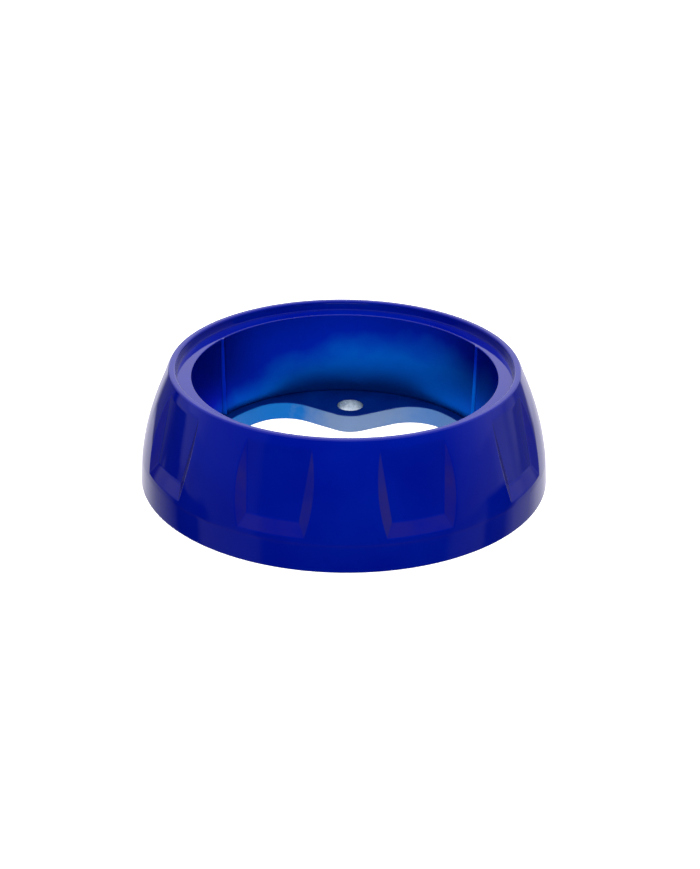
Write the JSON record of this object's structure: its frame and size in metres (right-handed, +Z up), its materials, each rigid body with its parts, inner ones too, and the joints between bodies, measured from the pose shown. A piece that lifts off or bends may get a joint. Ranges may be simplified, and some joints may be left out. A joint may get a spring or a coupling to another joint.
{
  "type": "flanged mounting collar",
  "caption": "Flared round collar with a stepped rim, a ribbed bore, shallow pockets around its flank and a lobed base flange with screw holes.",
  "frame": {"origin": "centre of the base plane, on the collar's axis", "axes": "+Z up the collar's axis to the rim, +Y through one screw hole of the flange"},
  "size_m": [0.0856, 0.0856, 0.0248],
  "materials": {
    "gloss_blue": "gloss",
    "satin_blue": "satin",
    "flange_blue": "satin"
  },
  "bodies": {
    "root": {"outer_shell": "gloss_blue", "inner_sleeve": "satin_blue", "mounting_flange": "flange_blue"}
  },
  "joints": []
}
